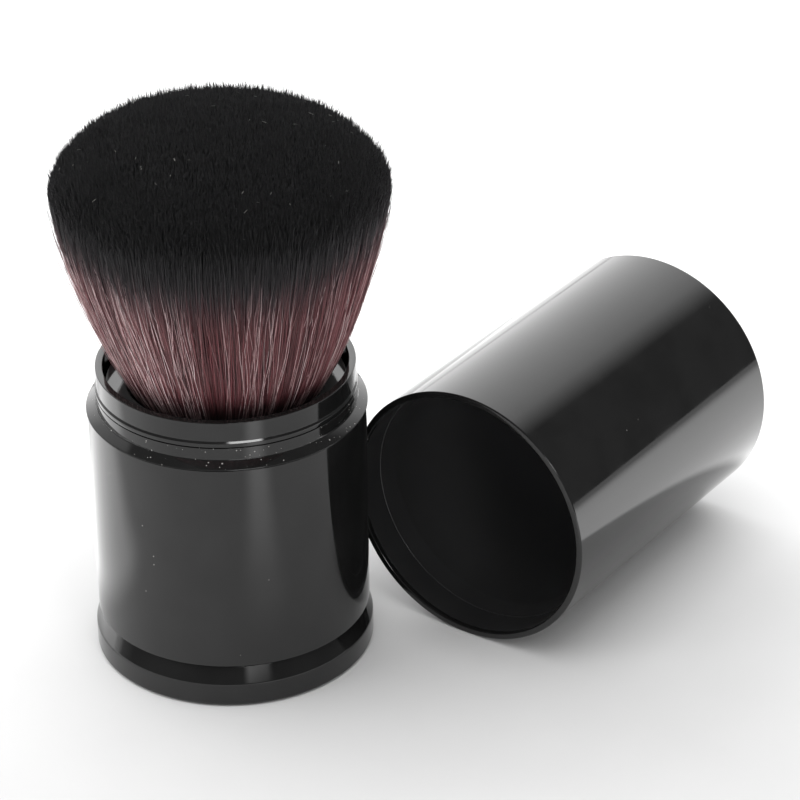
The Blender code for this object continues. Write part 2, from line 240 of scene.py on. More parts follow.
def makeFloor(settings):
    deselectAll()
    bpy.ops.mesh.primitive_circle_add(vertices=settings["corners"], radius=settings["radius"],
                                      fill_type="NGON")
    floor = bpy.context.object
    floor.name = "floor"
    material, n = newMaterial("pale_floor")
    place = n.add("ShaderNodeTexCoord").outputs["Object"]
    parts = n.add("ShaderNodeSeparateXYZ", {0: place}).outputs
    away = [n.math("SUBTRACT", parts[i], settings["nearCentre"][i]) for i in (0, 1)]
    distance = n.math("SQRT", n.math("ADD", *[n.math("POWER", value, 2.0) for value in away]))
    paler = n.fade(distance, settings["shadeRadius"], settings["paleRadius"])
    white = n.fade(distance, *settings["farRadii"])
    path = n.add("ShaderNodeLightPath").outputs
    seen = n.math("ADD", path["Is Camera Ray"], path["Is Glossy Ray"])
    seen = n.math("ADD", seen, path["Is Transmission Ray"], clamp=True)
    grain = n.fade(n.noise(place, settings["grain"], 3.0), *noiseSpan)
    darker = tuple(channel * settings["grainShade"] for channel in settings["colour"])
    paper = n.mix(grain, settings["colour"], darker)
    paper = n.mix(n.math("MULTIPLY", paler, seen), paper, settings["pale"])
    shade = n.add("ShaderNodeBsdfDiffuse", {"Color": paper})
    glow = n.add("ShaderNodeEmission", {"Strength": 1.0})
    share = n.math("MULTIPLY", white, seen)
    mixed = n.add("ShaderNodeMixShader", {0: share, 1: shade.outputs[0], 2: glow.outputs[0]})
    n.close(mixed)
    floor.data.materials.append(material)


def makeRoom(settings):
    world = bpy.data.worlds.new("studio")
    bpy.context.scene.world = world
    world.use_nodes = True
    n = Nodes(world.node_tree)
    direction = n.add("ShaderNodeTexCoord").outputs["Generated"]
    parts = n.add("ShaderNodeSeparateXYZ", {0: direction}).outputs
    azimuth = n.math("MULTIPLY", n.math("ARCTAN2", parts[0], parts[1]), 180.0 / math.pi)
    first, last = settings["from"], settings["to"]
    share = n.math("DIVIDE", n.math("SUBTRACT", azimuth, first), last - first, clamp=True)
    path = n.add("ShaderNodeLightPath").outputs
    places = [(row[0] - first) / (last - first) for row in settings["across"]]
    lighting = n.ramp(share, [(x, grey(row[1])) for x, row in zip(places, settings["across"])])
    showing = n.ramp(share, [(x, grey(row[2])) for x, row in zip(places, settings["across"])])
    across = n.mix(path["Is Glossy Ray"], lighting, showing)
    window = n.math("MULTIPLY", across, n.fade(parts[2], *settings["heights"], 1.0, 0.0))
    window = n.math("MULTIPLY", window, settings["window"])
    dim = n.fade(path["Is Glossy Ray"], 0.0, 1.0, settings["dim"], settings["dimInGloss"])
    room = n.add("ShaderNodeBackground", {"Strength": n.math("ADD", window, dim)})
    plain = n.add("ShaderNodeBackground", {"Strength": 1.0})
    mixed = n.add("ShaderNodeMixShader", {
        0: path["Is Camera Ray"], 1: room.outputs[0], 2: plain.outputs[0]})
    n.add("ShaderNodeOutputWorld", {"Surface": mixed.outputs[0]})
    for background in (room, plain):
        background.inputs["Color"].default_value = (1.0, 1.0, 1.0, 1.0)


def makeLamps(rows):
    for name, start, end, width, radiance, inGloss in rows:
        deselectAll()
        start, end = Vector(start), Vector(end)
        middle, along = (start + end) / 2.0, (end - start).normalized()
        back = (middle - along * middle.dot(along)).normalized()  # it faces the brush
        turn = Matrix((along.cross(back), along, back)).transposed()
        bpy.ops.object.light_add(type="AREA", location=middle, rotation=turn.to_euler())
        lamp = bpy.context.object
        lamp.name = name
        lamp.data.shape = "RECTANGLE"
        lamp.data.size, lamp.data.size_y = width, (end - start).length
        lamp.data.energy = radiance * math.pi * lamp.data.size * lamp.data.size_y
        lamp.visible_glossy = inGloss


def softCard(name, middle, turn, size, glow, soft):
    # a glowing plane that only gloss sees; soft gives the fades at -x, at +x and at both y edges
    deselectAll()
    bpy.ops.mesh.primitive_plane_add(size=1.0, location=middle, rotation=turn)
    card = bpy.context.object
    card.name = name
    card.scale = (*size, 1.0)
    bpy.ops.object.transform_apply(location=False, rotation=False, scale=True)
    material, n = newMaterial(name)
    place = n.add("ShaderNodeTexCoord").outputs["Object"]
    parts = n.add("ShaderNodeSeparateXYZ", {0: place}).outputs
    reach = [value / 2.0 for value in size]
    level = n.math("MULTIPLY", n.fade(parts[0], -reach[0], soft[0] - reach[0]), glow)
    level = n.math("MULTIPLY", level, n.fade(parts[0], reach[0] - soft[1], reach[0], 1.0, 0.0))
    sides = n.fade(n.math("ABSOLUTE", parts[1]), reach[1] - soft[2], reach[1], 1.0, 0.0)
    level = n.math("MULTIPLY", level, sides)
    light = n.add("ShaderNodeEmission", {"Strength": level})
    clear = n.add("ShaderNodeBsdfTransparent")
    n.close(n.add("ShaderNodeAddShader", {0: light.outputs[0], 1: clear.outputs[0]}))
    card.data.materials.append(material)
    for ray in ("camera", "diffuse", "transmission", "shadow", "volume_scatter"):
        setattr(card, "visible_" + ray, False)


def makeCards(floorRows, airRows):
    for name, edge, away, depth, width, glow, near, far, sides in floorRows:
        away = Vector((*away, 0.0)).normalized()
        middle = Vector((*edge, cardLift)) + away * depth / 2.0
        turn = (0.0, 0.0, math.atan2(away.y, away.x))
        softCard(name, middle, turn, (depth, width), glow, (near, far, sides))
    for name, (azimuth, elevation), distance, width, height, glow, soft in airRows:
        flat = Vector((math.sin(radians(azimuth)), math.cos(radians(azimuth)), 0.0))
        back = flat * math.cos(radians(elevation)) + Vector((0.0, 0.0, math.sin(radians(elevation))))
        across = Vector((0.0, 0.0, 1.0)).cross(back).normalized()
        turn = Matrix((across, back.cross(across), back)).transposed().to_euler()
        softCard(name, back * distance, turn, (width, height), glow, (soft, soft, soft))


makeFloor(floorSettings)
makeRoom(roomSettings)
makeLamps(lampSettings)
makeCards(cardSettings, panelSettings)
bpy.context.scene.view_settings.view_transform = "Standard"
print("floor, room and lamps in place")


lacquer = {
    "cloud": (110.0, 3.0, 0.6),       # scale, detail and roughness of the broad unevenness
    "wipes": (900.0, 2.0),
    "wipeStretch": (1.0, 1.0, 0.16),
    "cloudShare": 0.75,
    "wipeShare": 0.25,
    "patches": (105.0, 1.0),          # where dust gathers
    "patchSpan": (0.40, 0.60),
    "bareAbove": 0.97,                # where no patch is, cells over this chance hold a speck
    "patchGain": 0.16,
    "speckLeast": 0.000055,           # m, specks and their cores
    "speckSpread": 0.00011,
    "speckCore": 0.000035,
    "speckColour": (0.46, 0.45, 0.43),
    "speckRoughness": 0.6,
    "baseSpan": (0.35, 0.65),
    "paler": 1.45,
    "wave": (45.0, 1.0),
    "heights": (0.6, 0.006, 0.05),    # of the wave, the wipes and the specks
    "bump": (0.35, 0.00006),
    "ior": 1.5,
}


def glossBlack(name, base=0.0075, rough=(0.045, 0.10), dust=1.0, spacing=620.0, seed=0.0):
    # black lacquer with faint wipe marks, a few specks of dust and a slight unevenness
    s = lacquer
    material, n = newMaterial(name)
    place = n.add("ShaderNodeTexCoord").outputs["Object"]
    place = n.moved(place, Location=(seed, seed * 0.7, -seed))
    cloud = n.noise(place, *s["cloud"])
    wipes = n.noise(n.moved(place, Scale=s["wipeStretch"]), *s["wipes"])
    worn = n.math("ADD", n.math("MULTIPLY", cloud, s["cloudShare"]),
                  n.math("MULTIPLY", wipes, s["wipeShare"]))
    # dust: one speck in some cells of a fine pattern
    cells = n.add("ShaderNodeTexVoronoi", {"Vector": place, "Scale": spacing, "Randomness": 1.0})
    chance = n.add("ShaderNodeSeparateColor", {0: cells.outputs["Color"]}).outputs
    patch = n.fade(n.noise(place, *s["patches"]), *s["patchSpan"])
    limit = n.math("SUBTRACT", s["bareAbove"], n.math("MULTIPLY", patch, s["patchGain"] * dust))
    kept = n.math("GREATER_THAN", chance[0], limit)
    spread = n.math("MULTIPLY", n.math("POWER", chance[1], 3.0), s["speckSpread"] * spacing)
    size = n.math("ADD", spread, s["speckLeast"] * spacing)
    spot = n.fade(cells.outputs["Distance"], s["speckCore"] * spacing, size, 1.0, 0.0)
    speck = n.math("MULTIPLY", kept, spot)
    coat = n.mix(n.fade(cloud, *s["baseSpan"]), grey(base), grey(base * s["paler"]))
    colour = n.mix(speck, coat, s["speckColour"])
    roughness = n.fade(worn, *noiseSpan, *rough)
    roughness = n.math("ADD", roughness, n.math("MULTIPLY", speck, s["speckRoughness"]), clamp=True)
    wave, wipe, dot = s["heights"]
    height = n.math("ADD", n.math("MULTIPLY", n.noise(place, *s["wave"]), wave),
                    n.math("MULTIPLY", wipes, wipe))
    height = n.math("ADD", height, n.math("MULTIPLY", speck, dot))
    bump = n.bump(height, *s["bump"])
    n.close(n.principled(colour, roughness, bump, IOR=s["ior"]))
    return material


moulding = {
    "fine": (2600.0, 2.0, 0.6),
    "flow": (95.0, 3.0),
    "paler": 1.25,
    "paintedLightDepths": ((0.022, 0.046), (0.044, 0.068)),  # m along Y, over which the painted light makes the colour paler into the cap, to the deep colour and to the end's
    # how much paler still the painted light makes the cap's end
    "paintedLightEndGain": 2.3,
    "bump": (0.4, 0.00002),
    "ior": 1.5,
}


def mouldedPlastic(name, base=(0.010, 0.010, 0.0105), paintedLightDeep=None, rough=(0.36, 0.5)):
    # black moulding with a fine satin grain and faint flow marks; the colour down in the cap, when
    # given, is painted light: paler deep inside, where little light reaches
    s = moulding
    material, n = newMaterial(name)
    place = n.add("ShaderNodeTexCoord").outputs["Object"]
    fine = n.noise(place, *s["fine"])
    flow = n.noise(place, *s["flow"])
    colour = n.mix(n.fade(flow, *noiseSpan), base, tuple(channel * s["paler"] for channel in base))
    # painted light: deep in the cap the colour grows paler along Y, in place of light that doesn't reach
    # there
    if paintedLightDeep:
        inwards = n.add("ShaderNodeSeparateXYZ", {0: place}).outputs[1]
        end = tuple(s["paintedLightEndGain"] * channel for channel in paintedLightDeep)
        colour = n.mix(n.fade(inwards, *s["paintedLightDepths"][0]), colour, paintedLightDeep)
        colour = n.mix(n.fade(inwards, *s["paintedLightDepths"][1]), colour, end)
    roughness = n.fade(flow, *noiseSpan, *rough)
    bump = n.bump(fine, *s["bump"])
    n.close(n.principled(colour, roughness, bump, IOR=s["ior"]))
    return material


def plainGrained(name, colours, rough, grain, depth, metallic=0.0, stretch=(1.0, 1.0, 1.0)):
    # one grain drives colour, roughness and relief: rubber, metal, resin and cord use it
    material, n = newMaterial(name)
    place = n.add("ShaderNodeTexCoord").outputs["Object"]
    pattern = n.noise(n.moved(place, Scale=stretch), grain, 3.0, 0.6)
    colour = n.mix(n.fade(pattern, *noiseSpan), *colours)
    roughness = n.fade(pattern, *noiseSpan, *rough)
    n.close(n.principled(colour, roughness, n.bump(pattern, 0.5, depth), Metallic=metallic))
    return material


brushLacquer = glossBlack("gloss_black_brush", seed=0.3)
dustyLacquer = glossBlack("gloss_black_shoulder", seed=0.7, dust=2.2, spacing=2300.0)
capLacquer = glossBlack("gloss_black_cap", seed=1.1, dust=0.4)
plateGloss = glossBlack("plate_black", base=0.036, rough=(0.06, 0.10), seed=1.9, dust=2.0,
                        spacing=1500.0)
innerPlastic = mouldedPlastic("inner_black_plastic")
# the liner's paler colour deep in the cap is painted light
linerPlastic = mouldedPlastic("liner_black_plastic", base=(0.020, 0.020, 0.0205),
                              paintedLightDeep=(0.080, 0.080, 0.082), rough=(0.31, 0.35))
padRubber = plainGrained("pad_rubber", ((0.018, 0.018, 0.018), (0.028, 0.027, 0.026)), (0.7, 0.9),
                         1500.0, 0.00004)
brushedSteel = plainGrained("weight_steel", ((0.45, 0.45, 0.46), (0.6, 0.6, 0.6)), (0.25, 0.45),
                            700.0, 0.00002, 1.0, (1.0, 1.0, 0.2))
darkAluminium = plainGrained("dark_aluminium", ((0.035, 0.035, 0.038), (0.06, 0.06, 0.064)), (0.25, 0.4),
                             900.0, 0.00001, 1.0, (1.0, 1.0, 0.1))
amberResin = plainGrained("amber_resin", ((0.42, 0.24, 0.08), (0.5, 0.32, 0.13)), (0.15, 0.3),
                          260.0, 0.00003)
waxedCord = plainGrained("waxed_cord", ((0.5, 0.43, 0.32), (0.66, 0.6, 0.48)), (0.65, 0.85),
                         2400.0, 0.00006)
print("finishes mixed")


turning = {
    "reach": 0.002,        # mm, within which a vertex counts as the named corner
    "weld": 0.0015,        # mm
    "arc": 4,
    "smoothTo": 38.0,      # degrees
    "weight": 60,
}


def turned(name, settings):
    # an outline of (radius, height, rounding) corners in mm is rounded, then spun about the axis
    corners = settings["outline"]
    deselectAll()
    bpy.ops.mesh.primitive_circle_add(vertices=len(corners), fill_type="NOTHING")
    piece = bpy.context.object
    piece.name = name
    for vert, (radius, height, _) in zip(piece.data.vertices, corners):
        vert.co = (radius * mm, 0.0, height * mm)
    bpy.ops.object.mode_set(mode="EDIT")
    segments = settings.get("arc", turning["arc"])
    for radius, height, rounding in corners:
        if rounding:
            spot = Vector((radius * mm, 0.0, height * mm))
            selectVerts(piece, lambda place: (place - spot).length < turning["reach"] * mm)
            bpy.ops.mesh.bevel(affect="VERTICES", offset=rounding * mm, segments=segments)
    bpy.ops.mesh.select_all(action="SELECT")
    bpy.ops.mesh.spin(steps=settings["steps"], angle=2.0 * math.pi,
                      center=(0.0, 0.0, 0.0), axis=(0.0, 0.0, 1.0))
    bpy.ops.mesh.select_all(action="SELECT")
    bpy.ops.mesh.remove_doubles(threshold=turning["weld"] * mm)
    bpy.ops.mesh.delete_loose()
    bpy.ops.mesh.select_all(action="SELECT")
    bpy.ops.mesh.normals_make_consistent(inside=False)
    bpy.ops.object.mode_set(mode="OBJECT")
    pick(piece)
    if "lie" in settings:  # the cap's pieces lie on their side
        piece.rotation_euler = (radians(-90.0), 0.0, 0.0)
        piece.location = [value * mm for value in settings["lie"]]
        bpy.ops.object.transform_apply(location=True, rotation=True, scale=True)
    bpy.ops.object.shade_smooth_by_angle(angle=radians(turning["smoothTo"]))
    applyModifier(piece, "WEIGHTED_NORMAL", keep_sharp=True, weight=turning["weight"])
    piece.data.materials.clear()
    piece.data.materials.append(settings["finish"])
    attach(piece, settings["body"])
    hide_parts(settings["node"])


footShell = {
    "node": "foot_shell", "body": "core", "slot": "gloss_black_shell",
    "finish": brushLacquer, "steps": 192,
    "outline": [
        (19.3, 6.1, 0.1), (20.5, 3.65, 0.22), (20.5, 0.2, 0.4), (19.0, 0.2, 0.1),
        (19.0, 0.8, 0), (19.9, 0.8, 0), (19.9, 3.55, 0), (18.9, 5.5, 0), (18.3, 5.5, 0),
        (18.3, 6.1, 0.08),
    ],
}
basePlug = {
    "node": "base_plug", "body": "core", "slot": "black_plastic",
    "finish": innerPlastic, "steps": 128,
    "outline": [
        (0, 2.3, 0), (13.4, 2.3, 0), (13.4, 5.2, 0.1), (16.65, 5.2, 0.1), (16.65, 2.3, 0),
        (18.1, 2.3, 0), (18.1, 5.2, 0.1), (18.6, 5.2, 0.1), (19.5, 3.3, 0.1), (19.5, 1.1, 0.1),
        (18.7, 1.1, 0), (18.7, 0.3, 0.15), (16.8, 0.3, 0.15), (16.8, 1.2, 0), (0, 1.2, 0),
    ],
}
basePad = {
    "node": "base_pad", "body": "core", "slot": "black_rubber",
    "finish": padRubber, "steps": 128,
    "outline": [
        (0, 0.9, 0), (16.5, 0.9, 0.1), (16.5, 0, 0.2), (14.2, 0, 0.12), (14.0, 0.2, 0.12),
        (13.5, 0.2, 0.12), (13.3, 0, 0.12), (0, 0, 0),
    ],
}
coreTube = {
    "node": "core_tube", "body": "core", "slot": "black_plastic",
    "finish": innerPlastic, "steps": 160,
    "outline": [
        (17.6, 35.4, 0.08), (17.6, 34.5, 0), (18.4, 34.5, 0.15), (18.4, 33.8, 0.15),
        (17.9, 33.8, 0), (17.9, 2.6, 0.1), (16.95, 2.6, 0.1), (16.95, 35.4, 0.08),
    ],
}
coreHead = {
    "node": "core_head", "body": "core", "slot": "black_plastic",
    "finish": plateGloss, "steps": 192,
    "outline": [
        (0, 23.6, 0), (11.2, 23.6, 0), (11.2, 37.9, 0.1), (14.4, 43.15, 0.15),
        (17.2, 43.15, 0.12), (17.2, 36.4, 0.1), (18.35, 36.4, 0.15), (18.35, 35.55, 0),
        (16.75, 35.55, 0), (16.75, 31.5, 0.15), (15.85, 31.5, 0.15), (15.85, 42.35, 0),
        (15.0, 42.35, 0), (12.3, 37.6, 0), (12.3, 22.5, 0.3), (0, 22.5, 0),
    ],
}
ferrule = {
    "node": "ferrule", "body": "core", "slot": "dark_aluminium",
    "finish": darkAluminium, "steps": 128,
    "outline": [
        (0, 24.4, 0), (10.45, 24.4, 0.2), (10.45, 37.6, 0.18), (10.9, 37.6, 0.18),
        (10.9, 23.9, 0.4), (0, 23.9, 0),
    ],
}
sleeveShell = {
    "node": "sleeve_shell", "body": "sleeve", "slot": "gloss_black_shell",
    "finish": brushLacquer, "steps": 224,
    "outline": [
        (20.0, 38.9, 0.08), (20.0, 6.5, 0.2), (19.0, 6.5, 0.08), (19.0, 6.95, 0),
        (19.5, 6.95, 0), (19.5, 38.9, 0.08),
    ],
}
stopRing = {
    "node": "stop_ring", "body": "sleeve", "slot": "black_plastic",
    "finish": innerPlastic, "steps": 128,
    "outline": [
        (19.25, 8.3, 0.1), (19.25, 7.2, 0.1), (18.1, 7.2, 0.25), (18.1, 8.3, 0.25),
    ],
}
sleeveLiner = {
    "node": "sleeve_liner", "body": "sleeve", "slot": "black_plastic",
    "finish": innerPlastic, "steps": 128,
    "outline": [
        (19.25, 38.3, 0.1), (19.25, 8.6, 0.1), (18.6, 8.6, 0.1), (18.6, 38.3, 0.1),
    ],
}
shoulderRing = {
    "node": "shoulder_ring", "body": "sleeve", "slot": "gloss_black_shell",
    "finish": dustyLacquer, "steps": 224,
    "outline": [
        (18.8, 41.85, 0.06), (18.8, 40.02, 0.12), (20.12, 39.27, 0), (20.2, 39.15, 0),
        (20.2, 39.1, 0), (18.45, 39.1, 0), (18.45, 41.85, 0.05),
    ],
}
collar = {
    "node": "collar", "body": "sleeve", "slot": "gloss_black_shell",
    "finish": brushLacquer, "steps": 224,
    "outline": [
        (18.6, 45.75, 0.12), (18.6, 42.86, 0.03), (18.8, 42.55, 0.04), (18.8, 41.98, 0.05),
        (18.2, 41.98, 0), (18.2, 38.95, 0), (19.2, 38.95, 0), (19.2, 38.55, 0),
        (18.3, 38.55, 0), (18.3, 37.4, 0), (17.5, 37.4, 0.15), (17.5, 45.75, 0.16),
    ],
}
capLie = (28.8, 18.4, 20.0)
capShell = {
    "node": "cap_shell", "body": "cap", "slot": "gloss_black_shell",
    "finish": capLacquer, "steps": 224,
    "arc": 5, "lie": capLie,
    "outline": [
        (0, 53.0, 0), (20.0, 53.0, 0.42), (20.0, 0, 0.22), (19.0, 0, 0.22), (19.0, 0.8, 0.08),
        (19.5, 0.8, 0), (19.5, 52.4, 0), (0, 52.4, 0),
    ],
}
capLiner = {
    "node": "cap_liner", "body": "cap", "slot": "liner_plastic",
    "finish": linerPlastic, "steps": 192,
    "lie": capLie,
    "outline": [
        (0, 52.1, 0), (19.2, 52.1, 0), (19.2, 0.84, 0.03), (18.97, 0.84, 0.03),
        (18.85, 5.1, 0.02), (18.74, 5.16, 0.02), (18.2, 8.2, 0.3), (18.2, 51.3, 0.8),
        (0, 51.3, 0),
    ],
}

for name, settings in (
    ("footShell", footShell), ("basePlug", basePlug), ("basePad", basePad), ("coreTube", coreTube),
    ("coreHead", coreHead), ("ferruleCup", ferrule), ("sleeveShell", sleeveShell),
    ("stopRing", stopRing), ("sleeveLiner", sleeveLiner), ("shoulderRing", shoulderRing),
    ("collarNeck", collar), ("capShell", capShell), ("capLiner", capLiner),
):
    turned(name, settings)
print("turned pieces done")

hiddenFinishes = {
    "base_weight": brushedSteel, "drag_ring": padRubber, "tuft_glue": amberResin,
    "tuft_binding": waxedCord,
}
for name, finish in hiddenFinishes.items():
    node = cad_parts[name]
    for place in node.material_slots:
        place.material = finish
print("hidden CAD nodes finished")


tuft = {
    # height and radius, mm
    "outline": [
        (36.9, 10.1), (37.4, 10.2), (43.15, 14.2), (48.0, 16.6), (54.0, 18.95), (61.0, 21.2),
        (68.0, 23.05), (74.0, 23.95), (90.0, 24.0),
    ],
    # height, and where the tuft's middle stands there, mm
    "lean": [
        (36.9, 0.12, 0.09), (46.0, 0.28, 0.22), (54.0, 0.21, 0.23), (64.0, -0.02, 0.17),
        (74.0, 0.08, 0.36), (84.0, 0.18, 0.51),
    ],
    "domeFoot": 71.5,
    "domeTop": 83.55,
    "domeReach": 0.98,
    "domePower": 2.0,
    "tilt": (-0.017, -0.002),    # the dome is a little lower on the cap's side
    "edge": 24.1,                # mm, radius at which the tips' places are counted
    "sectors": 12,
    "keep": 0.69,                # share of the radius left when the sleeve is up
    "clump": 0.34,               # mm across, where tips draw together
    "clumpPull": (0.75, 9),      # how strongly, and how late along the fibre
    "flare": (0.42, 1.2),        # how much the tips turn outwards, and over what length in mm
    "pointFrom": 0.985,          # share of its length where a fibre starts to taper
    "tipPointFrom": 0.86,
    "tipLength": 6.0,            # mm, of the short tip ends
    "tipRise": (0.30, 1.3),      # mm, usual and greatest rise of a tip end over the dome
    "clumpRise": 0.42,           # mm, between the lowest and the highest clump
    "tipSink": 0.15,
    "wholeSpread": 0.07,         # mm, unevenness and depth of the whole fibres' tips
    "wholeSink": 0.22,
    "rim": (0.80, 0.20, 2.1, 1.5),  # where the uneven rim starts, its width, drop in mm and power
    "looseSink": (0.5, 7.0),
    "strayTips": (60.0, 75.0),
    "bunching": ((9, 0.010), (17, 0.008), (31, 0.006), (53, 0.0045), (89, 0.003)),  # waves, size
    "swayLengths": (26.0, 13.0),    # mm, wavelengths
    "swayBase": 15.0,
    "swayOut": 0.4,                 # in and out, as a share of sideways
    "sideways": (0.819, 0.574),     # the way across the tuft, as the photo sees it
    "seed": 11,
}

standing = {
    # how far out from the axis fibres stand, as shares of the radius
    "outer": (0.17, 1.4),
    "inner": 0.87,
    "tips": (0.985, 0.70, 0.285),
    "tipsEven": 0.5,                # share of the tips that are spread evenly
    "loose": (0.975, 0.033, 0.016),  # nearest, reach beyond, and spread of a bunch in radians
    "bunches": 150,
    # painted light: extra pale bunches on the lit front left make that side lighter
    "litSideBunches": (0.13, -98.0, 17.0),  # share, and azimuth and spread in degrees
    "leftStrays": (0.40, 215.0, 0.32),
    "stray": ((1.004, 0.052), (1.002, 0.016)),  # nearest and reach, at the left and elsewhere
}

fibreKinds = {
    # rings up a fibre, radius in mm, sideways sway in mm, drift round the axis at the tip,
    # middle and spread of the shades
    "outer": {
        "count": 15000, "rings": 9, "radius": 0.047, "sway": 0.055, "drift": 0.018,
        "shade": (0.325, 0.135),
    },
    "inner": {
        "count": 18000, "rings": 5, "radius": 0.095, "sway": 0.03, "drift": 0.010,
        "shade": (0.29, 0.10),
    },
    "tips": {
        "count": 36000, "rings": 4, "radius": 0.049, "sway": 0.03, "drift": 0.010,
        "shade": (0.29, 0.10),
    },
    "loose": {
        "count": 560, "rings": 12, "radius": 0.042, "sway": 0.15, "drift": 0.045,
        "shade": (0.905, 0.045),
    },
    "stray": {
        "count": 150, "rings": 10, "radius": 0.034, "sway": 0.15, "drift": 0.015,
        "shade": (0.82, 0.12),
    },
}
lint = {"count": 46, "rings": 3, "length": (0.25, 0.9), "radius": 0.032, "reach": 0.96, "lift": 0.12}

colourMap = {
    "columns": 64,
    "headroom": 1.4,                # mm over the dome, up to which the map's height runs
    "streaks": ((23, 1.0), (41, 4.0), (67, 0.0)),  # waves round the tuft and their phases
    "streakSize": 0.06,
    "greatestShade": 0.98,
    "lintShade": 0.999,
    "thickness": (0.75, 1.25),
    "halfWidth": 24.0,              # mm
    # painted sheen: on the sides the bluish band and the black start higher
    "sideSheenLift": (3.2, 46.0, 10.0),   # mm of lift at the sides, and where it grows
    # painted shade: on the sides the roots' painted shade ends lower
    "paintedShadeLift": (2.5, 52.0, 8.0),
}


def modelFibre(rings):
    # one three-sided fibre of unit length and unit radius, tapering to a point
    deselectAll()
    bpy.ops.mesh.primitive_circle_add(vertices=3, radius=1.0, fill_type="NOTHING")
    fibre = bpy.context.object
    bpy.ops.object.mode_set(mode="EDIT")
    bpy.ops.mesh.select_all(action="SELECT")
    for _ in range(rings - 1):
        rise = (0.0, 0.0, 1.0 / (rings - 1))
        bpy.ops.mesh.extrude_edges_move(TRANSFORM_OT_translate={"value": rise})
    bpy.ops.mesh.merge(type="CENTER")  # the last ring closes to the tip
    bpy.ops.mesh.select_all(action="SELECT")
    bpy.ops.mesh.normals_make_consistent(inside=False)
    bpy.ops.object.mode_set(mode="OBJECT")
    points = np.array([vert.co for vert in fibre.data.vertices])
    faces = [list(face.vertices) for face in fibre.data.polygons]
    bpy.data.objects.remove(fibre)
    return points, faces


def startPlaces(kind, count, draw):
    # where each fibre stands: its angle, and its share of the way out from the axis
    angle = draw.uniform(0.0, 2.0 * math.pi, count)
    chance = draw.uniform(0.0, 1.0, count)
    if kind == "outer":
        depth, power = standing["outer"]
        return angle, 1.0 - depth * chance ** power
    if kind == "inner":
        return angle, standing["inner"] * np.sqrt(chance)
    if kind == "tips":
        # more of them towards the edge, where they stand against the background
        reach, ring, width = standing["tips"]
        even = draw.uniform(0.0, 1.0, count) < standing["tipsEven"]
        return angle, np.where(even, reach * np.sqrt(chance), ring + width * chance)
    if kind == "loose":
        # pale fibres stand in small bunches; a share of them gather at the front left, which paints that
        # side lighter where the window lights it
        share, azimuth, spread = standing["litSideBunches"]
        nearest, further, scatter = standing["loose"]
        number = standing["bunches"]
        front = draw.uniform(0.0, 1.0, number) < share
        bunches = np.where(front, draw.normal(radians(azimuth), radians(spread), number),
                           draw.uniform(0.0, 2.0 * math.pi, number))
        angle = bunches[draw.integers(0, number, count)] + draw.normal(0.0, scatter, count)
        return angle, nearest + further * chance
    # strays hug the outside of the tuft, and a few at the left stand well off it
    share, azimuth, spread = standing["leftStrays"]
    off = draw.uniform(0.0, 1.0, count) ** 2
    left = chance < share
    angle = np.where(left, radians(azimuth) + draw.normal(0.0, spread, count), angle)
    (leftNear, leftFar), (near, far) = standing["stray"]
    return angle, np.where(left, leftNear + leftFar * off, near + far * off)


def domeHeight(place, s):
    reach = np.clip(s["domeReach"] * place, 0.0, 1.0) ** s["domePower"]
    return s["domeFoot"] + (s["domeTop"] - s["domeFoot"]) * np.sqrt(1.0 - reach)


def leaning(x, y, height, s):
    heights, middleX, middleY = zip(*s["lean"])
    return x + np.interp(height, heights, middleX), y + np.interp(height, heights, middleY)


def tipHeights(kind, place, tipX, tipY, hashed, s, draw):
    # how high each fibre ends, in mm
    count = len(place)
    tip = domeHeight(place, s) + tipX * s["tilt"][0] + tipY * s["tilt"][1]
    if kind == "tips":
        usual, greatest = s["tipRise"]
        rise = np.minimum(draw.exponential(usual, count), greatest)
        tip += rise + s["clumpRise"] * (hashed - 0.5) - s["tipSink"]
    else:
        tip += draw.normal(0.0, s["wholeSpread"], count) - s["wholeSink"]
    # the outermost fibres end at uneven heights, so that the dome has no hard shoulder
    start, width, drop, power = s["rim"]
    outermost = np.clip((place - start) / width, 0.0, 1.0)
    tip -= np.abs(draw.normal(0.0, drop, count)) * outermost ** power
    if kind == "loose":
        tip -= draw.uniform(*s["looseSink"], count)
    if kind == "stray":
        tip = draw.uniform(*s["strayTips"], count)
    return tip


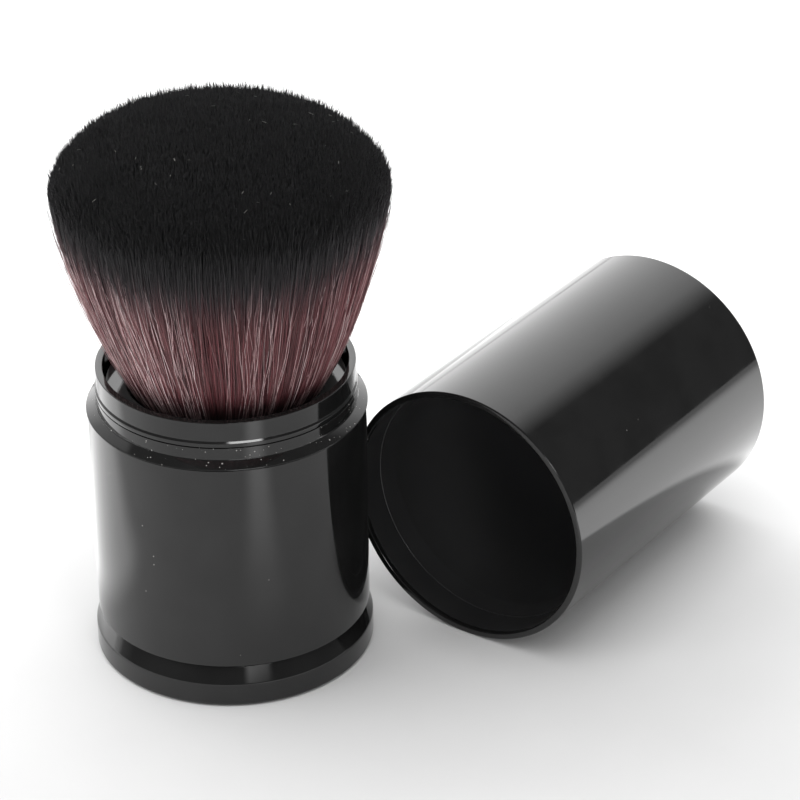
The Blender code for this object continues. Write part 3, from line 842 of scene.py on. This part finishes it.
def fibrePaths(kind, own, s, draw):
    # centre lines in mm, one row for each fibre and one point for each ring
    count = own["count"]
    angle, place = startPlaces(kind, count, draw)
    tipX, tipY = place * s["edge"] * np.cos(angle), place * s["edge"] * np.sin(angle)
    cell = np.stack([np.floor(tipX / s["clump"]), np.floor(tipY / s["clump"])])
    hashed = np.sin(cell[0] * 12.9898 + cell[1] * 78.233) * 43758.5453  # a chance number for each cell
    hashed -= np.floor(hashed)
    tip = tipHeights(kind, place, tipX, tipY, hashed, s, draw)
    pointFrom = s["tipPointFrom"] if kind == "tips" else s["pointFrom"]
    along = np.append(np.linspace(0.0, pointFrom, own["rings"] - 1), 1.0)
    root = (tip - s["tipLength"] if kind == "tips" else np.full(count, s["outline"][0][0]))[:, None]
    height = root + (tip[:, None] - root) * along
    share = np.minimum(place, 1.0)[:, None] + np.maximum(place - 1.0, 0.0)[:, None] * along
    radius = share * np.interp(height, *zip(*s["outline"]))
    # fibres bunch halfway up, and part again at the tips
    bunch = sum(size * np.sin(waves * angle + waves) for waves, size in s["bunching"])
    drift = draw.normal(0.0, own["drift"], count)[:, None] * along ** 1.3
    turn = bunch[:, None] * np.sin(math.pi * along) + drift
    for wavelength in s["swayLengths"]:
        phase = draw.uniform(0.0, 6.28, count)
        size = draw.normal(0.0, own["sway"], count) * wavelength / s["swayBase"]
        wave = np.sin(height * 6.283 / wavelength + phase[:, None])
        sway = size[:, None] * wave * np.minimum(1.0, along * 3)[None]
        turn += sway / np.maximum(radius, 3.0)
        radius += s["swayOut"] * np.roll(sway, 1, axis=0) * place[:, None]
    if kind == "tips":
        flare, length = s["flare"]
        radius += flare * place[:, None] ** 3 * np.maximum(height - tip[:, None] + length, 0.0)
    x, y = radius * np.cos(angle[:, None] + turn), radius * np.sin(angle[:, None] + turn)
    if kind == "tips":
        # they draw together in small points
        strength, power = s["clumpPull"]
        pull = strength * along[None, :] ** power
        x += pull * (((cell[0] + 0.25 + 0.5 * hashed) * s["clump"])[:, None] - tipX[:, None])
        y += pull * (((cell[1] + 0.75 - 0.5 * hashed) * s["clump"])[:, None] - tipY[:, None])
    x, y = leaning(x, y, height, s)
    return np.stack([x, y, height], axis=2), angle


def lintPaths(own, s, draw):
    # short bits of dust lying on the dome
    count, edge = own["count"], s["edge"]
    angle = draw.uniform(0.0, 2.0 * math.pi, count)
    place = own["reach"] * np.sqrt(draw.uniform(0.0, 1.0, count))
    along = np.linspace(-0.5, 0.5, own["rings"])
    way, length = draw.uniform(0.0, 6.28, count), draw.uniform(*own["length"], count) ** 1.5
    x = (place * edge * np.cos(angle))[:, None] + (length * np.cos(way))[:, None] * along
    y = (place * edge * np.sin(angle))[:, None] + (length * np.sin(way))[:, None] * along
    height = domeHeight(np.hypot(x, y) / edge, s) + x * s["tilt"][0] + y * s["tilt"][1] + own["lift"]
    x, y = leaning(x, y, height, s)
    return np.stack([x, y, height], axis=2), angle


def thicken(paths, thick, rings, across):
    # the unit fibre is laid along each centre line
    unit, faces = modelFibre(rings)
    ring = np.rint(unit[:, 2] * (rings - 1)).astype(int)
    size = thick[:, None]
    points = paths[:, ring, :].copy()
    points[:, :, 0] += size * (unit[:, 0] * across[:, :1] - unit[:, 1] * across[:, 1:])
    points[:, :, 1] += size * (unit[:, 0] * across[:, 1:] + unit[:, 1] * across[:, :1])
    side = np.arctan2(unit[:, 1], unit[:, 0]) / (2.0 * math.pi) + 0.5
    return points, faces, side


def layFibres(s, kinds, dust, colours):
    # every kind's fibres as vertices, with their sectors and their columns of the colour map
    draw = np.random.default_rng(s["seed"])
    groups = []
    for kind, own in kinds.items():
        paths, angle = fibrePaths(kind, own, s, draw)
        streak = sum(colours["streakSize"] * np.sin(waves * angle + phase)
                     for waves, phase in colours["streaks"])
        if kind in ("loose", "stray"):
            streak = 0.0
        middle, spread = own["shade"]
        shade = middle + streak + draw.normal(0.0, spread, len(angle))
        shade = np.clip(shade, 0.0, colours["greatestShade"])
        thick = own["radius"] * draw.uniform(*colours["thickness"], len(angle))
        groups.append((paths, angle, shade, thick, own["rings"]))
    paths, angle = lintPaths(dust, s, draw)
    shade, thick = np.full(len(angle), colours["lintShade"]), np.full(len(angle), dust["radius"])
    groups.append((paths, angle, shade, thick, dust["rings"]))
    print("tuft fibres:", sum(len(group[1]) for group in groups))
    laid = []
    for paths, angle, shade, thick, rings in groups:
        facing = draw.uniform(0.0, 2.0 * math.pi, len(angle))  # each fibre is turned its own way
        across = np.stack([np.cos(facing), np.sin(facing)], axis=1)
        points, faces, side = thicken(paths, thick, rings, across)
        sector = np.floor(np.mod(angle, 2.0 * math.pi) / (2.0 * math.pi) * s["sectors"]).astype(int)
        column = np.minimum(np.floor(shade * colours["columns"]), colours["columns"] - 1)
        laid.append((points, faces, side, sector, column))
    return laid


def sideLift(points, s, colours):
    # on the two sides, across the tuft as the camera sees it, the bluish band and the black start higher
    # than in front, a painted sheen, and the painted root shade ends lower
    sideways = (points[:, 0] * s["sideways"][0] + points[:, 1] * s["sideways"][1]) / colours["halfWidth"]
    size, start, length = colours["sideSheenLift"]
    lift = size * sideways ** 2 * np.clip((points[:, 2] - start) / length, 0.0, 1.0)
    size, start, length = colours["paintedShadeLift"]
    return lift - size * sideways ** 2 * np.clip((start - points[:, 2]) / length, 0.0, 1.0)


def sectorMesh(name, laid, number, s, colours):
    points, faces, columns, start = [], [], [], 0
    for vertices, shape, side, sector, column in laid:
        mine = np.nonzero(sector == number)[0]
        step = vertices.shape[1]
        faces += [[v + start + step * i for v in face] for i in range(len(mine)) for face in shape]
        points.append(vertices[mine].reshape(-1, 3))
        inside = column[mine][:, None] + 0.15 + 0.7 * side[None, :]
        columns.append((inside / colours["columns"]).ravel())
        start += len(mine) * step
    points, columns = np.concatenate(points), np.concatenate(columns)
    mesh = bpy.data.meshes.new(name)
    mesh.from_pydata((points * mm).tolist(), [], faces)
    # the colour map: a column for each shade, and the height runs up it
    loops = np.empty(len(mesh.loops), np.int32)
    mesh.loops.foreach_get("vertex_index", loops)
    lowest, highest = s["outline"][0][0], s["domeTop"] + colours["headroom"]
    height = points[loops, 2] - sideLift(points, s, colours)[loops]
    v = np.clip((height - lowest) / (highest - lowest), 0.0, 1.0)
    layer = mesh.uv_layers.new(name="OFBake")
    layer.data.foreach_set("uv", np.stack([columns[loops], v], axis=1).astype(np.float32).ravel())
    mesh.shade_smooth()
    return mesh


def makeTuft(s, kinds, dust, colours, finish):
    laid = layFibres(s, kinds, dust, colours)
    for number in range(s["sectors"]):
        name = f"tuftSector{number + 1:02d}"
        piece = bpy.data.objects.new(name, sectorMesh(name, laid, number, s, colours))
        bpy.context.scene.collection.objects.link(piece)
        piece.data.materials.append(finish)
        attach(piece, "core")
        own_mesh(piece)
        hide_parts("bristle_tuft")


dyesAndPaintedLight = {
    "browns": [
        (0.0, (0.050, 0.015, 0.017)), (0.35, (0.145, 0.047, 0.052)), (0.65, (0.26, 0.096, 0.104)),
        (0.84, (0.40, 0.21, 0.217)), (0.92, (0.62, 0.42, 0.425)), (0.98, (0.84, 0.67, 0.675)),
    ],
    "red": (0.23, 0.056, 0.066),
    "redChance": (0.62, 0.9),
    "paleFrom": (0.80, 0.9),         # shades over these take none of the red
    # painted shade: the colour the fibres darken to near their roots, where the collar shades them
    "root": (0.018, 0.0075, 0.0085),
    "paintedShadeHeights": (43.5, 50.8),     # mm, darkest to none
    "paintedShadeDepth": 0.95,
    "palePaintedShade": (0.80, 0.92, 1.0, 0.5),  # and these take less of the painted root shade
    "unevenness": 4.0,               # mm, between one column's dye line and another's
    # a bluish band where the mauve turns black: partly the dye's own bluish tint, partly painted sheen
    "blueTintAndSheen": (0.030, 0.025, 0.030),
    "blueTintAndSheenHeights": (58.5, 69.5),
    "black": (0.0105, 0.0105, 0.0112),
    "blackHeights": (62.5, 74.0),
    "dustFrom": 0.985,
    "dust": (0.40, 0.39, 0.37),
    "roughness": (60.0, 74.0, 0.42, 0.85),
}


def bristleFibre(s, colours, d):
    # dyed fibre: black tips over mauve brown, from the map's column and height, with painted shade at
    # the roots and painted sheen in the bluish band
    material, n = newMaterial("bristle_fibre")
    place = n.add("ShaderNodeUVMap", uv_map="OFBake").outputs[0]
    parts = n.add("ShaderNodeSeparateXYZ", {0: place}).outputs
    shade, share = parts[0], parts[1]
    span = s["domeTop"] + colours["headroom"] - s["outline"][0][0]
    height = n.math("ADD", n.math("MULTIPLY", share, span), s["outline"][0][0])
    column = n.math("FLOOR", n.math("MULTIPLY", shade, float(colours["columns"])))
    chance = n.add("ShaderNodeTexWhiteNoise", {"W": column}, noise_dimensions="1D").outputs["Value"]
    brown = n.ramp(shade, d["browns"])
    redder = n.mix(n.fade(chance, *d["redChance"]), brown, d["red"])
    brown = n.mix(n.fade(shade, *d["paleFrom"]), redder, brown)
    # painted shade: the fibres darken towards their roots, down where the collar shades them
    paintedRootShade = n.fade(height, *d["paintedShadeHeights"], d["paintedShadeDepth"], 0.0)
    paintedRootShade = n.math("MULTIPLY", paintedRootShade, n.fade(shade, *d["palePaintedShade"]))
    withPaintedShade = n.mix(paintedRootShade, brown, d["root"])
    dye = n.math("ADD", height, n.math("MULTIPLY", n.math("SUBTRACT", chance, 0.5), d["unevenness"]))
    # the bluish band is partly dye tint and partly painted sheen
    blueTintAndSheen = n.mix(n.fade(dye, *d["blueTintAndSheenHeights"]), withPaintedShade, d["blueTintAndSheen"])
    black = n.mix(n.fade(dye, *d["blackHeights"]), blueTintAndSheen, d["black"])
    colour = n.mix(n.math("GREATER_THAN", shade, d["dustFrom"]), black, d["dust"])
    roughness = n.fade(dye, *d["roughness"])
    n.close(n.principled(colour, roughness, **{"IOR": 1.5, "Specular IOR Level": 0.55}))
    return material


bristleDye = bristleFibre(tuft, colourMap, dyesAndPaintedLight)
makeTuft(tuft, fibreKinds, lint, colourMap, bristleDye)
print("tuft done")
